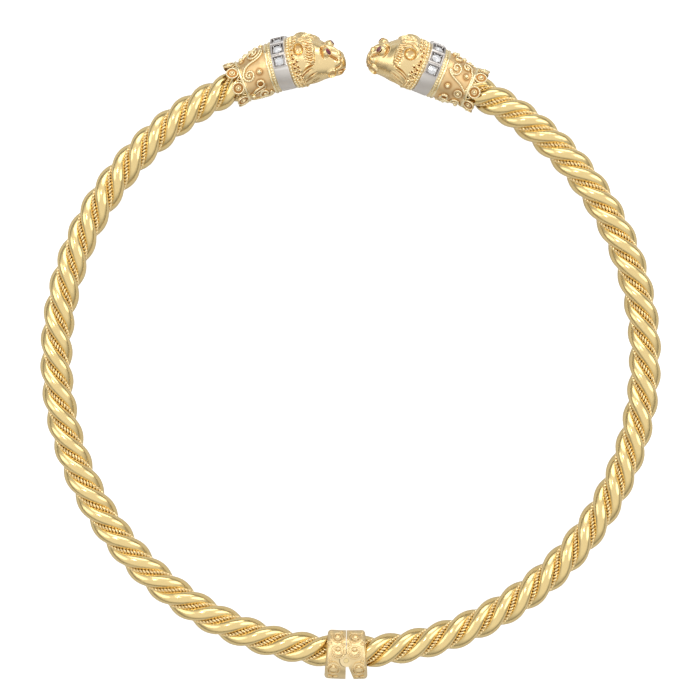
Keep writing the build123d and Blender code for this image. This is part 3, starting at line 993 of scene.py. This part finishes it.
def make_collar(side):
    ground, wires, shadows = [collar_ground(side)], collar_rings(side), []
    for turned in motif_turns:
        more_wires, more_shadows = collar_motif(side, turned)
        wires += more_wires
        shadows += more_shadows
    for share, angle in crown_spots[side]:
        place = on_collar(side, share, angle)
        wires += [disc(place, 0.5, 0.25), small_ring(place, 0.46, 0.22, 0.16, 9), bead(place, 0.22, 0.4)]
    for number in range(petal_count):
        plate, more_wires, more_shadows = scallop(side, petal_start[side] + 360 / petal_count * number)
        ground.append(plate)
        wires += more_wires
        shadows += more_shadows
    low, high = gather(ground), gather(wires)
    # Painted shadow on the ground round the wires, granules, rosettes, collets and scallops
    tree = tree_of(np.vstack(shadows))
    near = np.array([tree.find(spot)[2] for spot in low[0]])
    painted_shade = np.concatenate((np.exp(-((near / shadow_reach) ** 2)), np.zeros(len(high[0]))))
    piece(
        f"{side}_filigree_collar", gather([low, high]), [ground_gold, wire_gold], f"{side}_half",
        [f"{side}_collar"], sharp=65, painted_shade=painted_shade,
        finish_of=[0] * len(low[1]) + [1] * len(high[1]),
    )


# Hinge block: wire rings round the bosses, small curls and a thin wire with painted shade in the parting gap
# Places on the block: (millimetres from its parting, degrees from the top towards the neck)
boss_spots = ((1.8, 12), (2.76, -31), (1.84, 50))
block_round = block_diameter / 2
block_curls = ((3.5, 33), (3.6, -7), (0.72, 31), (3.2, 70), (1.1, 72), (2.2, -60), (3.5, -58))


def on_block(side, along, angle, height=0):
    """Axes on the hinge block: z outward, x along the block."""
    away = up * cos(radians(angle)) + np.array((0, 1.0, 0)) * sin(radians(angle))
    middle = np.array((sides[side] * along, -ring_radius - block_shift, ring_height))
    ahead = np.array((1.0, 0, 0))
    return Frame(middle + away * (block_round + height), ahead, np.cross(away, ahead), away)


def block_line(side, centre, reach, turns, height, spacing=0.12):
    """A curl on the block: from the first to the last reach while it turns between two angles."""
    count = round(radians(abs(turns[1] - turns[0])) * max(reach) / spacing)
    spots = []
    for turn, far in zip(np.radians(np.linspace(*turns, count)), np.linspace(*reach, count)):
        angle = centre[1] + degrees(far * sin(turn) / block_round)
        spots.append(on_block(side, centre[0] + far * cos(turn), angle, height))
    return np.array([spot.origin for spot in spots]), np.array([spot.z for spot in spots])


def make_hinge_scrolls(side):
    parts = []
    for number, centre in enumerate(boss_spots):
        outer = block_line(side, centre, (1.46, 1.22), (20, 500 - 60 * number), 0.05)
        inner = block_line(side, centre, (0.78, 0.78), (0, 352), 0.42)
        parts += [notched_wire(outer, 0.2), notched_wire(inner, 0.13, 0.4)]
    for number, centre in enumerate(block_curls):
        curl_line = block_line(side, centre, (0.56, 0.12), (70 * number, 70 * number + 560), 0.03, 0.1)
        parts.append(notched_wire(curl_line, 0.15, 0.35))
    shape = gather(parts)
    painted_shade = np.zeros(len(shape[0]))
    # A thin wire at the left parting, fully darkened with painted shade, stands for the shadow in the gap
    if side == "left":
        gap_shade_wire = np.array([on_block(side, -0.092, angle, -0.07).origin for angle in range(12, 91, 3)])
        shape = gather([shape, tube(gap_shade_wire, 0.06, 6)])
        painted_shade = np.concatenate((painted_shade, np.ones(len(gap_shade_wire) * 6)))
    piece(f"{side}_hinge_scrolls", shape, [block_gold], f"{side}_half", sharp=65, painted_shade=painted_shade)


# Diamond bands: a satin hoop with five open boxes over the crown
stone_count = 5
box_corners = 20
box_loops = (
    # (half width, half length, corner radius, height)
    (1.55, 1.32, 0.1, -1.2), (1.55, 1.32, 0.1, -0.08), (1.51, 1.28, 0.1, -0.01), (1.44, 1.21, 0.1, 0.0),
    (1.19, 1.06, 0.16, 0.0), (1.13, 1.0, 0.16, -0.04), (1.06, 0.98, 0.16, -0.25), (1.02, 0.96, 0.16, -1.15),
)
# Painted shade on each of the box loops: the inner wall's foot and the floor
box_shade = (0, 0, 0, 0, 0, 0, 0.25, 0.45)
prong_rings = (
    # (height, radius, painted shade)
    (-0.9, 0.17, 1.0), (-0.3, 0.17, 0.4), (-0.05, 0.16, 0), (0.05, 0.12, 0), (0.1, 0.04, 0),
)


def hoop(side):
    """The band's plain hoop with rounded edges."""
    columns, low, high = 144, 0.02, 1.8 * play + band_width
    rings = []
    for along, reach in (
        (low, 3.1), (low, 5.3), (low + 0.06, 5.44), (low + 0.2, 5.5),
        (high - 0.2, 5.5), (high - 0.06, 5.44), (high, 5.3), (high, 3.1),
    ):
        rings.append(circle(band_frame(side, along), reach, columns))
    return np.vstack(rings), grid_faces(len(rings), columns, True)


def rounded_square(place, half_x, half_y, corner, height):
    """A closed loop of points: a rectangle with round corners."""
    points, steps = [], box_corners // 4
    for quarter in range(4):
        for step in range(steps):
            angle = pi / 2 * (quarter + step / (steps - 1))
            x = (half_x - corner) * (1, -1, -1, 1)[quarter] + corner * cos(angle)
            y = (half_y - corner) * (1, 1, -1, -1)[quarter] + corner * sin(angle)
            points.append(place.origin + place.x * x + place.y * y + place.z * height)
    return np.array(points)


def open_box(place):
    """One box setting: an outer frame, four corner rooms round the stone's seat and a floor, which gets painted shade.
    """
    rings = [rounded_square(place, *loop) for loop in box_loops]
    return np.vstack(rings), grid_faces(len(rings), box_corners) + end_faces(len(rings), box_corners)[1:]


def make_set_band(side):
    ring = hoop(side)
    boxes, painted_shade = [], [np.zeros(len(ring[0]))]
    heights, thick, dark = zip(*prong_rings)
    middle = band_frame(side, play + band_width / 2)
    for number in range(stone_count):
        angle = radians(stone_pitch * (number - 2))
        away = middle.x * cos(angle) + middle.y * sin(angle)
        origin = middle.origin + away * (band_diameter / 2 + box_rise)
        place = Frame(origin, middle.z, np.cross(away, middle.z), away)
        boxes.append(open_box(place))
        # Painted shade on the box floors and the prongs' feet
        painted_shade.append(np.repeat(box_shade, box_corners))
        for x, y in ((1, 1), (1, -1), (-1, 1), (-1, -1)):
            foot = place.origin + place.x * x * 0.76 + place.y * y * 0.72
            line = [foot + place.z * height for height in heights]
            boxes.append(tube(line, thick, 10, np.tile(place.x, (len(line), 1))))
            painted_shade.append(np.repeat(dark, 10))
    shape = gather([ring, *boxes])
    finish_of = [0] * len(ring[1]) + [1] * (len(shape[1]) - len(ring[1]))
    piece(
        f"{side}_set_band", shape, [white_gold, box_gold], f"{side}_half",
        [f"{side}_diamond_band"], sharp=35, finish_of=finish_of, painted_shade=np.concatenate(painted_shade),
    )


for side in sides:
    wax = carved_head(side)
    extras = head_granules(wax) + [ruby_seat(side, way) for way in (1, -1)]
    points, faces = gather([(wax.points, wax.faces), *extras])
    painted_shade = np.concatenate((wax.painted_shade, np.zeros(len(points) - len(wax.points))))
    piece(
        f"{side}_carved_head", (posed(side, points), faces), [cast_gold], f"{side}_half",
        [f"{side}_lion_head"], painted_shade=painted_shade,
    )
    for number, way in enumerate((-1, 1)):
        points, faces = make_ruby(side, way)
        piece(
            f"{side}_cut_ruby_{number + 1}", (posed(side, points), faces), [ruby], f"{side}_half",
            [f"{side}_ruby_{number + 1}"], sharp=5,
        )
    make_collar(side)
    make_set_band(side)
    cords, groove_shade = groove_cords(side)
    piece(f"{side}_groove_cords", cords, [cord_gold], f"{side}_half", painted_shade=groove_shade)
    make_hinge_scrolls(side)
    for number in range(3):
        refinish(f"{side}_strand_{number + 1}", polished_gold)
    refinish(f"{side}_hinge_leaf", block_gold)
    for number in range(stone_count):
        refinish(f"{side}_diamond_{number + 1}", diamond)
refinish("hinge_pin", polished_gold)


# Floor, light and camera, in metres
floor_gap = 0.0002
photo_width = 0.15078
camera_place = (-0.000174, 0.001613)
camera_roll = 0.86


def stage_floor():
    """White paper that looks brighter than the light it gives the choker."""
    bpy.ops.mesh.primitive_plane_add(size=3, location=(0, 0, cad_box[0].z - floor_gap))
    floor = bpy.context.object
    floor.name = "floor"
    paper, nodes, links, shader = new_material("white paper")
    set_inputs(shader, Base_Color=(0.62, 0.62, 0.62, 1), Roughness=0.9, Specular_IOR_Level=0.1)
    set_inputs(shader, Emission_Color=(1, 1, 1, 1))
    ray = add_node(nodes, "ShaderNodeLightPath")
    glow = maths_node(nodes, "MULTIPLY", 0.75)
    join(
        links,
        (ray, "Is Camera Ray", glow, 0), (glow, 0, shader, "Emission Strength"),
    )
    floor.data.materials.append(paper)


def soft_box(name, place, width, height, brightness):
    """An area lamp that faces the choker, as bright all over as a white paper of that value."""
    lamp = bpy.data.lights.new(name, "AREA")
    lamp.shape = "ELLIPSE"
    lamp.size, lamp.size_y = width, height
    lamp.energy = brightness * pi * width * height
    thing = add_object(name, lamp)
    thing.location = place
    thing.rotation_euler = Vector(place).to_track_quat("Z", "Y").to_euler()


def studio_world():
    """White walls and ceiling, darker towards the floor."""
    world = bpy.data.worlds.new("studio")
    world.use_nodes = True
    nodes, links = world.node_tree.nodes, world.node_tree.links
    place = add_node(nodes, "ShaderNodeTexCoord")
    parts = add_node(nodes, "ShaderNodeSeparateXYZ")
    height = add_node(nodes, "ShaderNodeMapRange", From_Max=0.6, To_Min=0.15, To_Max=0.98)
    join(
        links,
        (place, "Generated", parts, "Vector"), (parts, "Z", height, "Value"),
        (height, "Result", nodes["Background"], "Strength"),
    )
    set_inputs(nodes["Background"], Color=(1, 1, 1, 1))
    bpy.context.scene.world = world


def aim_camera():
    """A long lens straight above, as wide as the photograph at the height of the rope's middle."""
    lens = bpy.data.cameras.new("camera")
    lens.lens, lens.sensor_width = 135, 36
    lens.clip_start, lens.clip_end = 0.01, 10
    camera = add_object("camera", lens)
    camera.location = (*camera_place, ring_height * MM + photo_width * lens.lens / lens.sensor_width)
    camera.rotation_euler = (0, 0, radians(camera_roll))
    bpy.context.scene.camera = camera


stage_floor()
soft_box("key soft box", (0.15, 0.8, 0.45), 0.9, 0.45, 1.5)
soft_box("left soft box", (-0.7, 0.15, 0.5), 0.5, 0.6, 0.9)
soft_box("right soft box", (0.75, 0.1, 0.5), 0.5, 0.7, 1.2)
soft_box("spot above", (-0.15, 0.3, 0.7), 0.12, 0.12, 11)
studio_world()
aim_camera()
bpy.context.scene.view_settings.view_transform = "Standard"
